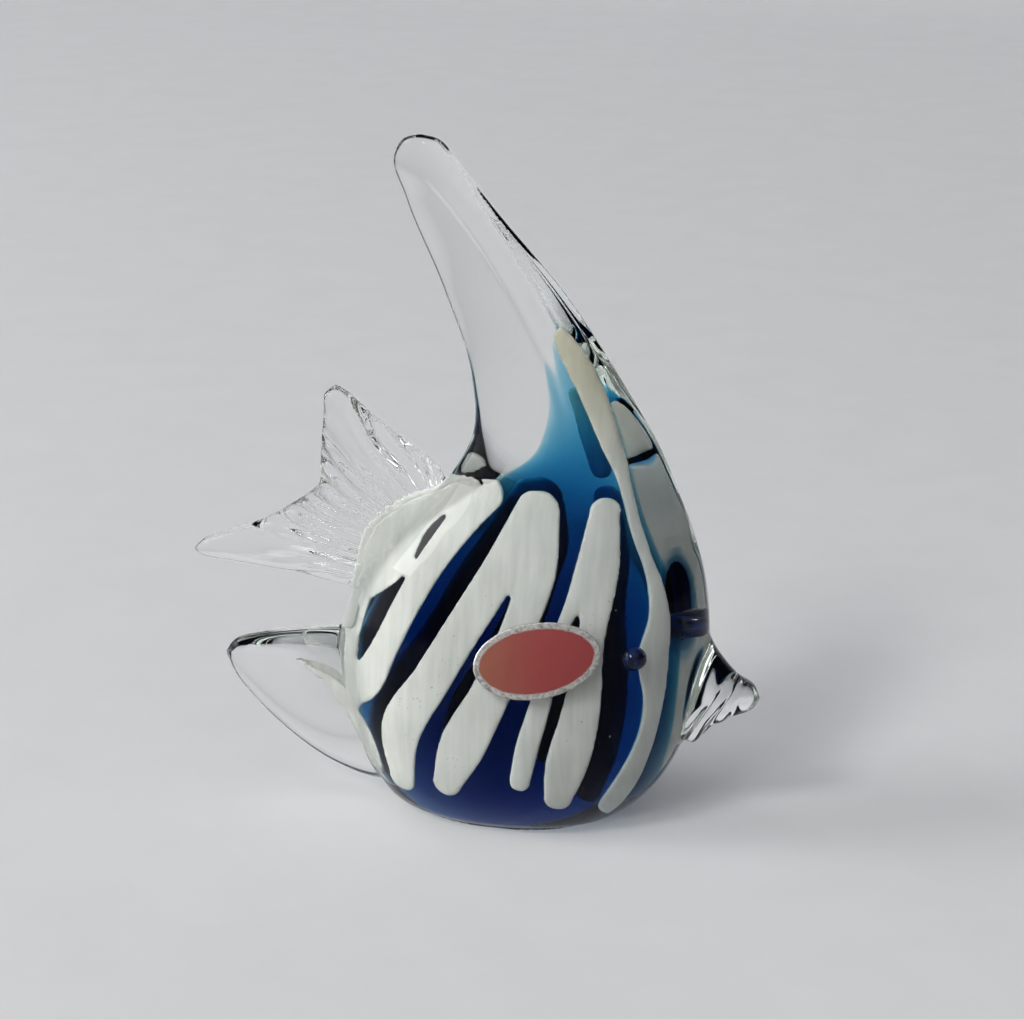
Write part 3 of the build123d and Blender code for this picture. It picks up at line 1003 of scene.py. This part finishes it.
def foil_material():
    """Printed foil, red to orange, with a rubbed silver rim."""
    made, tree = material("label_foil")
    shader = add(tree, "ShaderNodeBsdfPrincipled", Roughness=0.45, Metallic=0.25)
    uv = add(tree, "ShaderNodeUVMap", uv_map="rim")
    spot = add(tree, "ShaderNodeSeparateXYZ")
    place = add(tree, "ShaderNodeTexCoord")
    grain = add(tree, "ShaderNodeTexNoise", Scale=1800.0, Detail=3.0)
    blotch = add(tree, "ShaderNodeTexNoise", Scale=260.0, Detail=3.0)
    print_ramp = ramp_between(tree, 0.05, (0.20, 0.065, 0.028), 0.75, (0.23, 0.027, 0.026))
    shift = add(tree, "ShaderNodeMath", operation="MULTIPLY_ADD")
    shift.inputs[1].default_value = 0.35
    silver = ramp_between(tree, 0.30, (0.15, 0.14, 0.13), 0.62, (0.38, 0.37, 0.35))
    rough_edge = add(tree, "ShaderNodeMath", operation="MULTIPLY_ADD")
    rough_edge.inputs[1].default_value = 0.028
    rim = add(tree, "ShaderNodeMapRange")
    rim.inputs["From Min"].default_value = 0.058
    rim.inputs["From Max"].default_value = 0.066
    face = add(tree, "ShaderNodeMix", data_type="RGBA")
    tree.links.new(uv.outputs["UV"], spot.inputs[0])
    tree.links.new(place.outputs["Object"], grain.inputs["Vector"])
    tree.links.new(place.outputs["Object"], blotch.inputs["Vector"])
    tree.links.new(blotch.outputs["Fac"], shift.inputs[0])
    tree.links.new(spot.outputs["X"], shift.inputs[2])
    tree.links.new(shift.outputs[0], print_ramp.inputs[0])
    tree.links.new(grain.outputs["Fac"], silver.inputs[0])
    tree.links.new(grain.outputs["Fac"], rough_edge.inputs[0])
    tree.links.new(spot.outputs["Y"], rough_edge.inputs[2])
    tree.links.new(rough_edge.outputs[0], rim.inputs["Value"])
    tree.links.new(rim.outputs[0], face.inputs["Factor"])
    tree.links.new(silver.outputs[0], face.inputs["A"])
    tree.links.new(print_ramp.outputs[0], face.inputs["B"])
    tree.links.new(face.outputs["Result"], shader.inputs["Base Color"])
    finish_surface(tree, shader)
    return made


def paper_material():
    """Matt paper with a faint grain."""
    made, tree = material("backdrop_paper")
    shader = add(tree, "ShaderNodeBsdfPrincipled", Roughness=0.95)
    shader.inputs["Specular IOR Level"].default_value = 0.0
    place = add(tree, "ShaderNodeTexCoord")
    grain = add(tree, "ShaderNodeTexNoise", Scale=60.0, Detail=3.0)
    ramp = ramp_between(tree, 0.3, (0.730, 0.734, 0.746), 0.7, (0.750, 0.754, 0.766))
    tree.links.new(place.outputs["Object"], grain.inputs["Vector"])
    tree.links.new(grain.outputs["Fac"], ramp.inputs[0])
    tree.links.new(ramp.outputs[0], shader.inputs["Base Color"])
    finish_surface(tree, shader)
    return made


def backdrop():
    """A sheet of paper that lies under the fish and curves up behind it."""
    profile = [(BACKDROP_FRONT, 0.0), (BACKDROP_BACK, 0.0)]
    for step in range(1, BACKDROP_BEND_STEPS + 1):
        angle = math.pi / 2 * step / BACKDROP_BEND_STEPS
        back = BACKDROP_BACK + BACKDROP_BEND * math.sin(angle)
        profile.append((back, BACKDROP_BEND * (1 - math.cos(angle))))
    profile.append((BACKDROP_BACK + BACKDROP_BEND, BACKDROP_TOP))
    vertices, faces = [], []
    for y, z in profile:
        vertices += [(-BACKDROP_HALF_WIDTH, y, z), (BACKDROP_HALF_WIDTH, y, z)]
    for row in range(len(profile) - 1):
        faces.append((2 * row, 2 * row + 1, 2 * row + 3, 2 * row + 2))
    mesh = bpy.data.meshes.new("backdrop")
    mesh.from_pydata(vertices, [], faces)
    made = linked("backdrop", mesh)
    made.data.materials.append(paper_material())
    shade_smooth(made)


def area_light(name, place, width, height, power, on_matt=True):
    """A flat lamp aimed at the fish, which may leave matt surfaces alone."""
    data = bpy.data.lights.new(name, "AREA")
    data.shape = "RECTANGLE"
    data.size, data.size_y = width, height
    data.energy = power
    made = linked(name, data)
    made.location = place
    made.rotation_euler = (LIGHT_AIM - Vector(place)).to_track_quat("-Z", "Y").to_euler()
    made.visible_diffuse = on_matt


def lamps():
    """The window, its stronger glow in the glass, the lamp beyond it and the key light."""
    window = direction(WINDOW_AZIMUTH, WINDOW_ELEVATION) * WINDOW_DISTANCE
    area_light("window", window, WINDOW_WIDTH, WINDOW_HEIGHT, WINDOW_POWER)
    area_light("window_glow", window, WINDOW_WIDTH, WINDOW_HEIGHT, WINDOW_GLOW_POWER, on_matt=False)
    area_light("lamp", LAMP_PLACE, LAMP_SIZE, LAMP_SIZE, LAMP_POWER)
    area_light("key", KEY_PLACE, KEY_SIZE, KEY_SIZE, KEY_POWER)


def sky():
    """Light of the room from all round, brightest from high up in front."""
    world = bpy.data.worlds.new("room")
    scene.world = world
    world.use_nodes = True
    tree = world.node_tree
    place = add(tree, "ShaderNodeTexCoord")
    towards = add(tree, "ShaderNodeVectorMath", operation="DOT_PRODUCT")
    towards.inputs[1].default_value = direction(SKY_AZIMUTH, SKY_ELEVATION)
    glow = add(tree, "ShaderNodeMapRange", interpolation_type="SMOOTHSTEP")
    glow.inputs["From Min"].default_value = 0.40
    glow.inputs["From Max"].default_value = 1.0
    glow.inputs["To Min"].default_value = 0.10
    glow.inputs["To Max"].default_value = 0.72
    room = tree.nodes["Background"]
    room.inputs["Color"].default_value = (0.98, 0.99, 1.0, 1)
    tree.links.new(place.outputs["Generated"], towards.inputs[0])
    tree.links.new(towards.outputs["Value"], glow.inputs["Value"])
    tree.links.new(glow.outputs[0], room.inputs["Strength"])


def camera():
    data = bpy.data.cameras.new("photo_view")
    data.sensor_width = SENSOR_WIDTH_MM
    data.lens = PX_PER_MM * (CAMERA_DISTANCE / MM) * SENSOR_WIDTH_MM / PHOTO_WIDTH_PX
    data.clip_start = 0.01
    towards = direction(CAMERA_AZIMUTH, CAMERA_ELEVATION)
    made = linked("photo_view", data)
    made.location = CAMERA_AIM + towards * CAMERA_DISTANCE
    made.rotation_euler = (-towards).to_track_quat("-Z", "Y").to_euler()
    scene.camera = made


camera()
backdrop()
sky()
lamps()

opal = opal_material()
cobalt = cobalt_material()
clear = clear_material()
bead = bead_material()

bubbles = seed_bubbles()
bubbles.data.materials.append(bubble_material())
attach(bubbles, "root")

label = label_foil()
label.data.materials.append(foil_material())
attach(label, "root")
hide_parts("foil_label")

fish = clear_glass()
fish.data.materials.append(clear)
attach(fish, "root")
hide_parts("clear_casing", "tail_fin", "mouth")

core = core_skin()
core.data.materials.append(cobalt)
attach(core, "root")
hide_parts("cobalt_core")

trails = {
    "front_trail": [
        ribbon(FRONT_NEAR_LEG_SHARES, -1, 0.0),
        ribbon(FRONT_FAR_LEG_SHARES, 1, 0.0),
    ],
}
for flank, side, shift in (("near", -1, 0.0), ("far", 1, FAR_TRAIL_SHIFT)):
    for name, lines in (
        ("rear_trail", REAR_TRAIL_LEGS),
        ("fork_trail", FORK_TRAIL_LEGS),
        ("middle_trail", MIDDLE_TRAIL_LEGS),
    ):
        trails[f"{flank}_{name}"] = [ribbon(line, side, shift) for line in lines]
    made = eye_bead(f"{flank}_eye_bead", side)
    made.data.materials.append(bead)
    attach(made, "root")
    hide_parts(f"{flank}_eye")
for node, ribbons in trails.items():
    made = trail(f"{node}_opal", ribbons)
    made.data.materials.append(opal)
    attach(made, "root")
    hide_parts(node)

scene.view_settings.view_transform = "Standard"
scene.cycles.max_bounces = LIGHT_BOUNCES
scene.cycles.transmission_bounces = LIGHT_BOUNCES
scene.cycles.transparent_max_bounces = LIGHT_BOUNCES
